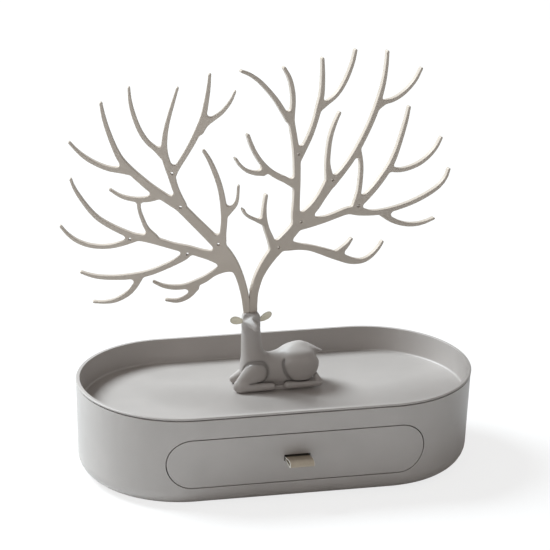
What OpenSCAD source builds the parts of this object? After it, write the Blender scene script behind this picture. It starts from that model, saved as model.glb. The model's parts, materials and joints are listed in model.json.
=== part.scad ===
// Jewellery stand with a drawer. An oval case carries a shallow tray on top, a lying deer
// stands in the tray, and its two flat antlers are the rack. Millimetres, Z up.
// The origin is on the table under the middle of the case. The drawer opens towards -Y.

/* [Base] */
// Length over the tray rim
stand_l = 270; // [264:1:330]
// Width over the tray rim
stand_w = 137; // [128:1:165]
// Height from the table to the top of the tray rim
base_h = 66; // [62:1:85]
// How far the case walls lean in for each millimetre of height
draft = 0.03; // [0:0.005:0.05]
// Radius of the round along the bottom edge of the case
base_round = 12.8; // [10:0.1:14]
// Thickness of the case wall and floor
case_wall = 2.4; // [2:0.1:3]
// Thickness of the case wall where it stands round the tray
collar_wall = 1; // [0.8:0.1:1.2]
// How far the rubber pad stands out under the case
foot_out = 0.8; // [0.5:0.1:2]
// Thickness of the rubber pad under the case
pad_t = 1.6; // [1.2:0.1:2.2]
// How far the pad stays inside the flat underside of the case
pad_in = 4; // [2:0.5:5]

/* [Tray] */
// Depth from the rim down to the tray floor
tray_depth = 17; // [14:0.5:20]
// Thickness of the tray wall and floor
tray_wall = 1.1; // [0.9:0.1:1.4]
// Height of the lip that lies on the case
lip_h = 1.7; // [1.2:0.1:3]
// Height of the dark line between the lip and the case
reveal_h = 0.6; // [0.3:0.1:1]
// How far the case stays inside the lip
reveal_in = 0.3; // [0:0.1:0.6]
// How far the tray wall leans in from the rim to the floor
tray_lean = 1.4; // [0.6:0.1:1.8]
// Radius between the tray wall and its floor
tray_round = 1.6; // [1:0.2:6]
// Clearance between the tray and the case
tray_gap = 0.2; // [0.2:0.1:0.4]

/* [Drawer] */
// Length of the drawer front
front_l = 174; // [150:1:185]
// Height of the drawer front
front_h = 34; // [30:1:36]
// How far the top of the drawer front lies above the tray floor
front_over = 0.5; // [0:0.1:1]
// Thickness of the drawer front
front_t = 2.2; // [1.8:0.1:2.4]
// Gap all round the drawer front
front_gap = 0.6; // [0.3:0.1:1]
// How far the drawer pulls out
travel = 95; // [40:1:100]
// How much shorter the bin is than the drawer front at each end
bin_side = 8; // [7:0.5:15]
// Thickness of the bin wall and floor
bin_wall = 1.8; // [1.4:0.1:2.5]
// Clearance between the bin and what hangs over it
bin_head = 0.8; // [0.5:0.1:3]
// Radius of the long lower edges of the bin
bin_round = 8; // [6:0.5:10]
// Clearance between the bin and its runners
run_gap = 0.3; // [0.2:0.1:0.5]
// Space from the bin to the back of the case
bin_back = 13; // [12:1:30]

/* [Pull] */
// Width of the pull strip
pull_w = 16.5; // [12:0.5:30]
// How far the pull strip stands out
pull_out = 14.5; // [10:0.5:20]
// Thickness of the pull strip
pull_t = 1.2; // [0.8:0.1:1.4]
// Height of the slot in the drawer front
slot_h = 4.5; // [4:0.1:6]

/* [Deer] */
// Place of the deer along the stand
deer_x = 0; // [-30:1:30]
// Place of the deer from front to back
deer_y = 13.8; // [-10:0.1:20]
// Place of the antler seam along the deer
seam_x = -15.6; // [-17:0.1:-14]
// Height of the crown above the tray floor
crown_h = 55; // [54:0.5:56]

/* [Antlers] */
// Thickness of an antler plate
antler_t = 3.6; // [2.5:0.1:3.8]
// Angle that each antler sweeps back
sweep = 14; // [12:1:25]
// Radius of the webs in the forks
web = 2; // [1:0.25:3]
// Diameter of the small holes for ear studs
stud_d = 2; // [1.2:0.1:2.4]
// Size of the antlers against the real ones
antler_scale = 1; // [0.6:0.05:1.3]

/* [Hidden] */
grey = [0.56, 0.54, 0.52];
beige = [0.62, 0.58, 0.50];
cream = [0.76, 0.73, 0.64];
steel = [0.70, 0.70, 0.72];
black = [0.15, 0.15, 0.15];

spine = stand_l - stand_w;
end_r = stand_w / 2;
case_top = base_h - lip_h - reveal_h;
tray_floor = base_h - tray_depth;
tray_under = tray_floor - tray_wall;
case_floor = foot_out + case_wall;
collar_foot = tray_floor;
round_steps = 8;
eps = 0.01;
far = 400;

// Screws: shank radius, pilot radius, clearance radius, head radius and head height
screw_r = 1.4;
pilot_r = 1.45;
clear_r = 1.8;
head_r = 2.8;
head_h = 1.6;

// Drawer frame
front_z = tray_floor + front_over - front_h / 2;
slot_z = front_z;
bin_w = front_l - 2 * bin_side;
bin_low = front_z - front_h / 2 + 1.8;
bin_top = tray_under - head_h - bin_head;
panel_in = wall_r(front_z) - front_t;
bin_front_y = oval_y(bin_w / 2, panel_in) - 0.8;
bin_back_y = end_r - bin_back;
front_screw_x = 60;
front_screw_dz = 7;
boss_r = 4;
boss_sink = 0.8;

// Runners: the bin's floor slides on the shelf, the fence keeps it straight, the stop ends its travel
rib_x = bin_w / 2 - 17;
rib_t = 3;
fence_x = bin_w / 2 + run_gap;
fence_t = 2;
fence_h = 16;
shelf_t = 2;
shelf_z = bin_low - run_gap;
tab_t = 2;
tab_w = 12;
boss_h = 3;
lug_w = 6;
lug_t = 3;
lug_drop = 5;
lug_x = rib_x - 1 - lug_w;
lug_y = bin_back_y - lug_t - 1;
stop_y = lug_y - travel - run_gap;
stop_t = 3;
stop_h = 6;
runner_y0 = -end_r + 8.5;
runner_y1 = bin_back_y + 3;
runner_screw_x = fence_x - 4;
runner_screw_y = 35;

// Posts that carry the tray
post_out = end_r - 23.2;
post_turn = 41.4;
post_x = spine / 2 + post_out * cos(post_turn);
post_y = post_out * sin(post_turn);
post_r = 4.6;
post_top = case_floor + 30;
post_web = 4;

// Pull: the strip's own points, as a share of its reach and a height from the middle of the slot
pull_path = [[0, 1], [0.18, 1.4], [0.43, 2.4], [0.65, 3.2], [0.83, 3.2], [0.96, 2.2], [1, 0.7], [0.95, -0.5],
    [0.83, -0.9], [0.58, -0.9], [0.29, -0.9], [0, -0.9]];
slot_end = 0.6;
flange_h = 6;
flange_gap = 0.26;
clamp_y = panel_in - flange_gap - pull_t;
clamp_t = 2;
clamp_h = 12;
clamp_end = 4;
window_gap = 1;
pull_screw_x = pull_w / 2 + 5;
pull_boss_r = 3.4;

// Deer: pieces are placed in the deer's own frame, X along it, Z up from the tray floor
deer_screw_x = [-8, 18];
deer_base_h = 3;
deer_base_r = 8;
deer_boss_w = 6.4;
deer_boss_h = 11;
socket_gap = 0.15;
tenon_x = 2.2;
tenon_w = 3;
tenon_t = 2.8;
tenon_h = 3;
seam_gap = 0.1;
seam_h = 18;
sphere_n = 18;
ear_l = 10;
ear_pin = 1.8;
ear_pin_l = 2.6;

// The antlers were measured with the crown 104 mm above the table
grid_h = 104;

// Tines of the left antler: distance from the seam, height, width. Negative is to the left.
left_tines = [
    // trunk, main stem and outermost upright tine
    [[-1.9, 104, 3.8], [-2.4, 110, 4.6], [-3.5, 118, 5.2], [-7, 130, 5.4], [-12, 140, 6.6], [-19, 149, 7.6],
     [-28, 158.5, 7], [-38, 168.5, 6.6], [-47, 177.5, 6.4], [-54, 182, 5.8], [-61, 186.5, 5.6],
     [-68, 191.5, 5.4], [-75, 197.5, 5], [-81, 203, 4.8], [-87, 210, 4.2], [-91.5, 219, 3.4],
     [-96, 231, 3], [-98.8, 241, 2.6], [-100.2, 248.5, 2]],
    // side tine under it
    [[-121, 221, 1.4], [-116, 215.5, 2], [-110, 210.5, 2.8], [-103, 206.5, 3], [-95, 203.5, 3.4],
     [-87, 202.5, 4], [-79, 201, 4]],
    // short tine over the closed loop
    [[-94, 188.8, 1.4], [-88, 185, 2.2], [-82, 183, 2.8], [-75, 182.2, 3.2], [-68, 183, 4], [-60, 186, 5]],
    // strut that closes the loop
    [[-75, 182, 2.6], [-74.3, 175, 2.4], [-72, 168, 2.6], [-69, 161.5, 3], [-64, 156, 4]],
    // lower stem
    [[-17, 140, 8], [-25, 143.5, 7], [-33, 145.5, 5.6], [-42, 148, 5.4], [-52, 150.2, 4.6],
     [-61, 152.8, 4.8], [-70, 155, 4.8], [-78, 156.2, 4.6], [-86, 159.5, 4], [-94, 163.4, 3.6],
     [-102, 168.5, 3.2], [-108.6, 175.5, 2.8], [-114.6, 184, 2.4], [-118, 190, 2], [-120, 195.3, 1.6]],
    [[-126.7, 162, 1.4], [-122, 156.5, 2], [-116, 152, 2.6], [-108, 149, 2.8], [-100, 148.2, 2.8],
     [-92, 149, 3], [-84, 151.5, 3.4], [-77, 154.5, 4]],
    // lowest long tine and its branch
    [[-113, 129.6, 1.6], [-106, 127.4, 2.4], [-99, 126.4, 2.8], [-90, 126.4, 3], [-82, 127.2, 3.6],
     [-74, 128.6, 3.8], [-66, 131, 3.8], [-58, 134.6, 3.8], [-50, 138.8, 4], [-44, 143, 5], [-40, 147, 5]],
    [[-104.5, 108.6, 1.4], [-98, 108.4, 1.8], [-91, 109.6, 2.6], [-85, 112.6, 3.2], [-80, 116.5, 3.4],
     [-76.4, 121.5, 3.8], [-74, 127, 5]],
    // curled tine beside the deer and its branch
    [[-64.5, 124.2, 1.4], [-58, 121.4, 2.4], [-51, 120.5, 3], [-44, 121.2, 3.4], [-37, 123.6, 4.4],
     [-30, 127.2, 4.4], [-24, 131.6, 4], [-17, 135.5, 6], [-11, 136, 6]],
    [[-56, 111.4, 1.4], [-50, 110.8, 2.4], [-45, 112, 2.8], [-40, 115.4, 3.4], [-36, 121, 4.6]],
    // upright tine with the small one beside it
    [[-32.4, 217.5, 2], [-28.7, 211.5, 2.8], [-24.8, 203, 3.4], [-21.6, 194, 3.6], [-19.5, 185, 4],
     [-18.2, 176, 4.6], [-18, 168, 4.4], [-18.6, 160, 4.6], [-19, 151, 6]],
    [[-17.5, 172.5, 4], [-14, 176.6, 3.4], [-10.9, 180.4, 2.8], [-9.4, 185, 2.2], [-9, 193.5, 1.9]],
    // top branch with four tines
    [[-46, 179, 6], [-48.8, 186, 4.6], [-51.4, 193, 4.4], [-53.4, 200, 5], [-55.6, 206, 5],
     [-57.6, 212.5, 4.6], [-58.4, 220, 4], [-57.6, 230, 3.4], [-55.6, 240, 2.8], [-53, 250, 2.4],
     [-50.2, 260.3, 1.8]],
    [[-82, 259.8, 1.6], [-81, 250, 2.4], [-78.4, 240, 2.8], [-74.4, 230, 3], [-69.4, 222.6, 3],
     [-64, 218, 3.4], [-58.5, 213, 5]],
    [[-29.3, 270, 2], [-30, 260, 2.8], [-31.4, 250, 3.4], [-33, 241, 4], [-36, 232, 4.4], [-40, 223, 4],
     [-45, 213.5, 3.6], [-50, 204.6, 3.6], [-53, 198, 4.4]],
    [[-12.5, 259, 1.6], [-15.5, 252, 2.2], [-20.5, 245, 2.6], [-26, 240.4, 3], [-31.5, 236.6, 4.6],
     [-35, 231, 5]]
];
left_holes = [[-53, 201.5], [-80.5, 154.5], [-47, 178], [-21.5, 152.5], [-42, 145]];

// Tines of the right antler, in the same way. Positive is to the right.
right_tines = [
    // trunk and the first hub
    [[2.8, 104, 5.4], [2.8, 110, 5.4], [3.2, 118, 5.8], [6, 128, 6.2], [10.5, 136, 7], [16, 143, 8],
     [22, 149, 9], [29, 155.5, 8], [35, 162, 8]],
    // inner upright tine and the thin one that reaches across the seam
    [[10.4, 186, 2.2], [9.4, 178, 2.6], [9.4, 170, 3.6], [11.4, 162, 3.8], [14.5, 154.5, 4.6],
     [17, 148, 6]],
    [[-6.6, 178.6, 1.6], [-5, 175.4, 2], [-2, 172.6, 2.2], [2.5, 170, 2.4], [7.5, 167.2, 3]],
    // middle stem and its two top tines
    [[35, 161, 8], [33.2, 169, 6], [33.2, 178, 4.8], [33.3, 190, 4.8], [33.1, 200, 4.8], [32.6, 210, 5],
     [31, 220, 4.2], [28.6, 232, 4], [27.4, 238, 4.5]],
    [[-10, 274.5, 2], [-4, 271.6, 2.6], [3, 266.4, 2.9], [10, 259, 3.1], [16, 251.6, 3.3],
     [21, 244, 3.6], [26, 236, 4]],
    [[21.4, 273, 2.1], [25.6, 265.5, 2.7], [28, 257, 3], [28.8, 249, 3.1], [28.4, 241, 3.3],
     [28, 234, 3.6]],
    // upright tine right of them and its branch
    [[49.8, 276, 2], [50.3, 268, 2.5], [50.4, 259, 3], [50, 251, 3.5], [48.3, 243, 4], [46, 234, 3.6],
     [42.4, 224, 3.8], [38.2, 216, 4.2], [33.5, 208, 5]],
    [[74.5, 278.8, 2], [72.8, 271, 2.4], [69.4, 262, 2.7], [65, 254, 2.7], [60, 248.4, 2.8],
     [54, 244.6, 3], [48, 241, 4]],
    // second hub and the long outer stem
    [[35, 163, 8], [41, 167.5, 7.5], [47, 172.5, 7], [52.5, 179.5, 6.5], [58, 187.5, 8]],
    [[64, 236.7, 1.9], [60.4, 229, 2.6], [57.6, 220, 3], [56.4, 210, 3.2], [56.2, 201, 3.6],
     [58, 191, 6]],
    [[99, 275, 1.9], [98.6, 266, 2.3], [97.4, 256, 2.7], [95.4, 247, 3.2], [92, 236, 3.9],
     [87.4, 225, 3.9], [81.6, 214, 4], [75.4, 204, 4.2], [68, 195, 4.4], [60, 187.5, 6]],
    [[125.6, 260, 1.8], [121.8, 253, 2.3], [116.5, 247.3, 2.6], [110.5, 243, 2.8], [104, 240.4, 2.9],
     [98, 239.5, 3.2], [92, 236, 4]],
    // strut that closes the loop
    [[79.6, 209, 3], [81.4, 202, 2.6], [82.1, 195, 2.8], [81.8, 187, 3], [81, 179, 3.2], [79, 171, 4]],
    [[117.4, 233.8, 1.9], [115.6, 225, 2.6], [112.8, 215, 3], [109.6, 205, 3.3], [105.5, 195.5, 4],
     [100, 187.5, 4.4], [94, 180.5, 4.4], [87.5, 174.5, 4.8], [80, 169, 6]],
    [[143.6, 208.6, 1.8], [140.3, 202.6, 2.4], [135, 197, 2.7], [128, 192.6, 2.9], [120, 190.2, 2.9],
     [112, 189.6, 3], [104, 191.5, 4]],
    // long low stem and its branch
    [[151, 185, 1.8], [149, 179.6, 2.2], [144.6, 174.4, 2.7], [138, 170.4, 3], [129, 166.8, 3.2],
     [120, 164.2, 3.2], [110, 162.4, 3.2], [100, 161.4, 3.6], [90, 162, 3.8], [81, 164.5, 6],
     [73, 166, 5], [64, 164.2, 4.4], [55, 162.4, 4.6], [45, 162, 7], [37, 162, 9]],
    [[140.6, 150.6, 1.6], [134, 148.9, 2.2], [127, 148.3, 2.6], [119, 149.4, 2.9], [111, 152.4, 3.4],
     [105, 156, 4], [99, 160.5, 4]],
    // lowest stem with its thorn
    [[20, 149, 8], [28, 147.6, 7], [36, 145.8, 4.6], [44, 143.8, 4.2], [52, 140.6, 4.8], [60, 137, 5.6],
     [68, 133.4, 5.8], [76, 129.6, 4.8], [84, 127.9, 3.4], [90, 129.2, 3], [95, 132.6, 2.6],
     [98.6, 136.4, 2.2], [100.6, 139.6, 1.8]],
    [[76.4, 145.3, 1.8], [73.4, 141.6, 3], [69.6, 138.4, 4.4], [65, 135.5, 5]],
    // two tines that lean over the seam
    [[-13, 215, 1.6], [-9.8, 210.2, 2.1], [-5, 205.7, 2.5], [1, 203, 3], [8, 202, 4]],
    [[-4.2, 230, 2.1], [-2, 224, 2.6], [1.4, 217, 2.8], [6, 210, 3.2], [11.5, 203.6, 4],
     [18, 198.6, 4.2], [25, 194.6, 4.4], [33, 189, 4.8]]
];
right_holes = [[33.5, 212], [60, 190], [37, 163.5], [20.5, 147.7], [80.5, 168.5]];

// ---- curves ----

// A smooth curve through the points p, with three steps between neighbours
function knot(p, i) = i < 0 ? 2 * p[0] - p[1]
    : i >= len(p) ? 2 * p[len(p) - 1] - p[len(p) - 2] : p[i];
function blend(a, b, c, d, t) =
    0.5 * (2 * b + (c - a) * t + (2 * a - 5 * b + 4 * c - d) * t * t + (3 * b - a - 3 * c + d) * t * t * t);
curve_steps = 3;
function curve(p) = concat(
    [for (i = [0:len(p) - 2], k = [0:curve_steps - 1])
        blend(knot(p, i - 1), knot(p, i), knot(p, i + 1), knot(p, i + 2), k / curve_steps)],
    [p[len(p) - 1]]);
function heading(q, i) =
    let (d = q[min(i + 1, len(q) - 1)] - q[max(i - 1, 0)]) [d[0], d[1]] / norm([d[0], d[1]]);
function side(q, i, s) =
    [q[i][0], q[i][1]] + s * q[i][2] / 2 * [-heading(q, i)[1], heading(q, i)[0]];

// One tine: a strip of changing width along a curve, round at both ends
module tine(p) {
    q = curve(p);
    polygon(concat([for (i = [0:len(q) - 1]) side(q, i, 1)],
                   [for (i = [len(q) - 1:-1:0]) side(q, i, -1)]));
    for (e = [q[0], q[len(q) - 1]]) {
        translate([e[0], e[1]]) circle(d = e[2], $fn = 16);
    }
}

// ---- the oval and its profiles ----

// Half width of an oval of end radius r at a distance x from the middle
function oval_y(x, r) = x < spine / 2 ? r : sqrt(r * r - (x - spine / 2) * (x - spine / 2));
// Outer radius of the case at a height above the table
function wall_r(z) = end_r - reveal_in - draft * (case_top - z);
// Centre and radius of the bottom round, kept tangent to the leaning wall
function round_c(inset, low) =
    let (r = base_round - inset)
    [wall_r(0) - inset + draft * (low + r) - r * sqrt(1 + draft * draft), low + r];
function arc(c, r, a0, a1) =
    [for (i = [0:round_steps]) let (a = a0 + (a1 - a0) * i / round_steps) c + r * [cos(a), sin(a)]];

// Half section of a solid with the shape of the case, a given distance inside its surface
module case_section(inset, low, top) {
    c = round_c(inset, low);
    polygon(concat([[0, low]], arc(c, base_round - inset, -90, -atan(draft)),
                   [[wall_r(top) - inset, top], [0, top]]));
}

// Carries a half section round the oval
module oval() {
    for (s = [-1, 1]) {
        translate([s * spine / 2, 0, 0])
            rotate([0, 0, -s * 90]) rotate_extrude(angle = 180, $fn = 96) children();
    }
    translate([-spine / 2, 0, 0]) rotate([90, 0, 90]) linear_extrude(spine) {
        children();
        mirror([1, 0]) children();
    }
}

// The long round-ended outline of the drawer front, standing up along Y
module front_outline(grow, y0, y1) {
    h = front_h + 2 * grow;
    translate([0, y1, front_z]) rotate([90, 0, 0]) linear_extrude(y1 - y0) {
        square([front_l - front_h, h], center = true);
        for (s = [-1, 1]) translate([s * (front_l - front_h) / 2, 0]) circle(d = h, $fn = 96);
    }
}

module at_posts() {
    for (sx = [-1, 1], sy = [-1, 1]) translate([sx * post_x, sy * post_y, 0]) children();
}

// ---- case ----

// Oval prism, a given radius round the spine
module oval_plate(r, z0, z1) {
    translate([0, 0, z0]) linear_extrude(z1 - z0) {
        square([spine, 2 * r], center = true);
        for (sx = [-1, 1]) translate([sx * spine / 2, 0]) circle(r = r, $fn = 96);
    }
}

pad_r = end_r - base_round - pad_in;

module at_runner_screws() {
    for (sx = [-1, 1], sy = [-1, 1]) translate([sx * runner_screw_x, sy * runner_screw_y, 0]) children();
}

module case() {
    color(grey) difference() {
        union() {
            difference() {
                oval() case_section(0, foot_out, case_top);
                oval() case_section(case_wall, case_floor, collar_foot);
                oval() polygon([[0, collar_foot - eps],
                                [wall_r(collar_foot) - collar_wall, collar_foot - eps],
                                [wall_r(case_top) - collar_wall, case_top + 1], [0, case_top + 1]]);
                front_outline(front_gap, -far, 0);
            }
            at_posts() translate([0, 0, case_floor - eps])
                cylinder(r = post_r, h = post_top - case_floor, $fn = 48);
            at_runner_screws() translate([0, 0, case_floor - eps]) cylinder(r = boss_r, h = boss_h, $fn = 48);
        }
        oval_plate(pad_r + run_gap, foot_out - 1, pad_t);
        at_posts() {
            cylinder(r = head_r + 0.4, h = post_top - post_web, $fn = 48);
            cylinder(r = clear_r, h = post_top + 1, $fn = 32);
        }
        at_runner_screws() translate([0, 0, pad_t + 0.4])
            cylinder(r = pilot_r, h = case_floor + boss_h, $fn = 32);
    }
}

module base_pad() { color(black) oval_plate(pad_r, 0, pad_t); }

// ---- tray ----

tray_top_r = end_r - reveal_in - collar_wall - tray_gap - draft * (reveal_h + 0.5);
function tray_r(z) = tray_top_r - tray_lean * (base_h - z) / tray_depth;

// Half section of the tray, a given distance inside its outer skin
module tray_section(inset, low, top) {
    r = tray_round + tray_wall - inset;
    c = [tray_r(low) - inset - r, low + r];
    polygon(concat([[0, low]], arc(c, r, -90, 0), [[tray_r(top) - inset, top], [0, top]]));
}

module tray() {
    color(grey) difference() {
        union() {
            oval() tray_section(0, tray_under, base_h - lip_h + eps);
            oval() polygon([[0, base_h - lip_h], [end_r - 0.5, base_h - lip_h],
                            [end_r, base_h - lip_h + 0.5], [end_r, base_h - 0.8],
                            [end_r - 0.25, base_h - 0.25], [end_r - 0.8, base_h], [0, base_h]]);
            at_posts() translate([0, 0, post_top - eps])
                cylinder(r = post_r - 0.6, h = tray_under - post_top + 2 * eps, $fn = 48);
        }
        oval() tray_section(tray_wall, tray_floor, base_h + 1);
        at_posts() translate([0, 0, post_top - 1])
            cylinder(r = pilot_r, h = tray_under - post_top - 1, $fn = 32);
        for (x = deer_screw_x) {
            translate([deer_x + x, deer_y, tray_under - 1])
                cylinder(r = clear_r, h = tray_wall + 2, $fn = 32);
        }
    }
}

// A screw that points up from z = 0, with its head below
module screw_up(length) {
    cylinder(r = screw_r, h = length, $fn = 32);
    translate([0, 0, -head_h]) difference() {
        cylinder(r = head_r, h = head_h, $fn = 48);
        translate([-2, -0.35, -eps]) cube([4, 0.7, 0.8]);
        translate([-0.35, -2, -eps]) cube([0.7, 4, 0.8]);
    }
}

module tray_screws() {
    color(steel) at_posts() translate([0, 0, post_top - post_web]) screw_up(post_web + 8);
}

// ---- runners ----

module runner() {
    rail_l = runner_y1 - runner_y0;
    intersection() {
        difference() {
            union() {
                translate([rib_x, runner_y0, case_floor]) cube([rib_t, rail_l, shelf_z - case_floor]);
                translate([rib_x, runner_y0, shelf_z - shelf_t])
                    cube([fence_x + fence_t - rib_x, rail_l, shelf_t]);
                translate([fence_x, runner_y0, shelf_z - shelf_t]) cube([fence_t, rail_l, shelf_t + fence_h]);
                for (s = [-1, 1]) {
                    translate([rib_x, s * runner_screw_y - tab_w / 2, case_floor + boss_h])
                        cube([fence_x - rib_x, tab_w, tab_t]);
                }
                translate([lug_x, stop_y - stop_t, shelf_z - lug_drop - stop_h / 2])
                    cube([rib_x - lug_x + eps, stop_t, stop_h]);
            }
            for (s = [-1, 1]) translate([runner_screw_x, s * runner_screw_y, case_floor]) {
                cylinder(r = clear_r, h = boss_h + tab_t + 1, $fn = 32);
                translate([0, 0, boss_h + tab_t]) cylinder(r = head_r + 0.5, h = far / 4, $fn = 32);
            }
        }
        oval() case_section(case_wall + run_gap, case_floor, tray_floor);
    }
}

module runner_right() { color(grey) runner(); }
module runner_left() { color(grey) mirror([1, 0, 0]) runner(); }

module runner_screws() {
    color(steel) at_runner_screws() translate([0, 0, case_floor + boss_h + tab_t])
        rotate([180, 0, 0]) screw_up(boss_h + 2.5);
}

// ---- drawer ----

module at_front_screws() {
    for (sx = [-1, 1], sz = [-1, 1]) {
        translate([sx * front_screw_x, -bin_front_y, front_z + sz * front_screw_dz])
            rotate([90, 0, 0]) children();
    }
}

module at_pull_screws() {
    for (sx = [-1, 1]) translate([sx * pull_screw_x, 0, slot_z]) rotate([90, 0, 0]) children();
}

module drawer_front() {
    color(grey) difference() {
        union() {
            intersection() {
                difference() {
                    oval() case_section(0, foot_out, case_top);
                    oval() case_section(front_t, foot_out, case_top + 1);
                }
                front_outline(0, -far, 0);
            }
            at_front_screws()
                cylinder(r = boss_r, h = oval_y(front_screw_x, panel_in) + boss_sink - bin_front_y, $fn = 48);
            at_pull_screws() translate([0, 0, clamp_y])
                cylinder(r = pull_boss_r, h = panel_in + boss_sink - clamp_y, $fn = 48);
        }
        translate([-pull_w / 2 - slot_end, -end_r - 1, slot_z - slot_h / 2])
            cube([pull_w + 2 * slot_end, front_t + 8, slot_h]);
        at_front_screws() translate([0, 0, -1]) cylinder(r = pilot_r, h = 3.4, $fn = 32);
        at_pull_screws() translate([0, 0, clamp_y - 1]) cylinder(r = pilot_r, h = 3.2, $fn = 32);
    }
}

// Section of the bin across its length, a given distance inside its outer skin
module bin_section(inset, top) {
    r = max(bin_round - inset, 0.5);
    w = bin_w / 2 - inset;
    low = bin_low + inset;
    polygon(concat(arc([w - r, low + r], r, -90, 0), [[w, top], [-w, top]],
                   arc([-w + r, low + r], r, 180, 270)));
}

module bin_block(inset, y0, y1, top) {
    translate([0, y1, 0]) rotate([90, 0, 0]) linear_extrude(y1 - y0) bin_section(inset, top);
}

module drawer_bin() {
    color(grey) difference() {
        union() {
            difference() {
                bin_block(0, -bin_front_y, bin_back_y, bin_top);
                bin_block(bin_wall, -bin_front_y + bin_wall, bin_back_y - bin_wall, bin_top + 1);
            }
            for (s = [-1, 1]) {
                translate([s * (lug_x + lug_w / 2) - lug_w / 2, lug_y, bin_low - lug_drop])
                    cube([lug_w, lug_t, lug_drop + eps]);
            }
        }
        at_front_screws() translate([0, 0, -bin_wall - 1]) cylinder(r = clear_r, h = bin_wall + 2, $fn = 32);
        // window for the clamp behind the slot
        translate([-clamp_x - window_gap, -bin_front_y - 1, slot_z - clamp_h / 2 - window_gap])
            cube([2 * (clamp_x + window_gap), bin_wall + 2, clamp_h + 2 * window_gap]);
    }
}

module front_screws() {
    color(steel) at_front_screws() translate([0, 0, -bin_wall]) screw_up(bin_wall + 2);
}

// ---- pull ----

clamp_x = pull_screw_x + clamp_end;

// Side view of the folded strip: a loop outside, and two ends that turn apart behind the panel
module pull_side() {
    face = wall_r(front_z);
    reach = pull_out - pull_t / 2;
    up = pull_path[0][1];
    down = -pull_path[len(pull_path) - 1][1];
    q = curve(concat([[clamp_y, up, pull_t]],
                     [for (p = pull_path) [face + p[0] * reach, p[1], pull_t]],
                     [[clamp_y, -down, pull_t]]));
    last = len(q) - 1 - 2;
    fold_y = clamp_y + pull_t;
    polygon(concat([[clamp_y, up - pull_t / 2], [clamp_y, flange_h], [fold_y, flange_h],
                    [fold_y, up + pull_t / 2]],
                   [for (i = [2:last]) side(q, i, 1)],
                   [[fold_y, -down - pull_t / 2], [fold_y, -flange_h], [clamp_y, -flange_h],
                    [clamp_y, -down + pull_t / 2]],
                   [for (i = [last:-1:2]) side(q, i, -1)]));
}

module pull_strip() {
    color(beige) translate([-pull_w / 2, 0, slot_z]) rotate([90, 0, 90]) linear_extrude(pull_w)
        mirror([1, 0]) pull_side();
}

module pull_clamp() {
    color(steel) difference() {
        translate([-clamp_x, -clamp_y, slot_z - clamp_h / 2]) cube([2 * clamp_x, clamp_t, clamp_h]);
        at_pull_screws() cylinder(r = clear_r, h = far / 4, $fn = 32);
    }
}

module pull_screws() {
    color(steel) at_pull_screws() translate([0, 0, clamp_y - clamp_t]) screw_up(clamp_t + 2);
}

// ---- deer ----

module blob(c, r) { translate(c) scale(r) sphere(r = 1, $fn = sphere_n); }

module limb(a, ra, b, rb) { hull() { blob(a, ra * [1, 1, 1]); blob(b, rb * [1, 1, 1]); } }

module deer_frame() { translate([deer_x, deer_y, tray_floor]) children(); }

module at_deer_screws() { for (x = deer_screw_x) translate([x, 0, 0]) children(); }

// The deer's base: an oval plate with a square boss for each screw
module deer_base_shape(grow, low) {
    r = deer_base_r + grow;
    translate([0, 0, low]) linear_extrude(deer_base_h + grow - low) {
        for (x = [-13, 23]) translate([x, 0]) circle(r = r, $fn = 48);
        translate([-13, -r]) square([36, 2 * r]);
    }
    w = deer_boss_w + 2 * grow;
    at_deer_screws() translate([-w / 2, -w / 2, 0]) cube([w, w, deer_boss_h + grow]);
}

module deer_base() {
    color(grey) deer_frame() difference() {
        deer_base_shape(0, 0);
        at_deer_screws() translate([0, 0, -1]) cylinder(r = pilot_r, h = deer_boss_h, $fn = 32);
    }
}

module deer_body() {
    color(grey) deer_frame() difference() {
        union() {
            // barrel and rump
            hull() { blob([-9, 0, 13.5], [11, 8.5, 12]); blob([3, 0, 14], [9, 8, 11.5]); }
            hull() { blob([3, 0, 14], [9, 8, 11.5]); blob([19, 0, 18], [12.5, 9, 15]); }
            // neck and head, the crown flat for the antlers
            hull() { blob([-12.5, 0, 18], [9, 7.5, 10]); blob([-14.6, 0, 39], [6.8, 6, 6]); }
            hull() { blob([-14.6, 0, 39], [6.8, 6, 6]); blob([-14.8, 0, 49], [5.8, 5.6, 5]); }
            hull() {
                blob([-14.8, 0, 49], [5.8, 5.6, 5]);
                translate([seam_x - 5.2, -3.6, crown_h - 2]) cube([11, 7.2, 2]);
            }
            hull() { blob([-14.8, -1, 49], [5, 5, 4.6]); blob([-13.2, -12, 45.2], [3.2, 2.8, 2.8]); }
            // shoulders, thighs and legs
            for (s = [-1, 1]) {
                blob([-12, s * 6, 12], [8.5, 5, 8.5]);
                blob([19, s * 6.5, 18], [11.5, 5.5, 13]);
                limb([-22, s * 8.5, 4], 2.8, [0, s * 9, 4.4], 2.4);
                limb([31, s * 8, 4.4], 3, [10, s * 9, 4.4], 2.6);
            }
            limb([-13, -7, 9], 4.6, [-23, -8, 4.2], 3.2);
            limb([-14, 6, 10], 4.6, [-25.5, 7, 5], 3.2);
            limb([27, 0, 29.6], 2.6, [34.6, 0, 24.4], 1.2);
        }
        translate([-60, -60, -20]) cube([120, 120, 20]);
        deer_base_shape(socket_gap, -1);
        for (s = [-1, 1]) antler_place(s) tenon(s, socket_gap, tenon_h + socket_gap);
        for (s = [-1, 1]) ear_place(s) ear_peg(socket_gap);
    }
}

module deer_screws() {
    color(steel) deer_frame() at_deer_screws() translate([0, 0, -tray_wall])
        screw_up(tray_wall + deer_boss_h - 2);
}

// Where an ear leaves the head and how it points. s = -1 is the left one.
module ear_place(s) {
    root = s < 0 ? [-20.4, -0.5, 50.4] : [-9.2, -0.5, 50.2];
    turn = s < 0 ? 172 : 38;
    translate(root) rotate([0, -turn, 0]) children();
}

module ear_peg(grow) {
    w = ear_pin + 2 * grow;
    translate([-ear_pin_l - grow, -w / 2, -w / 2]) cube([ear_pin_l + 2.4, w, w]);
}

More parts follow.
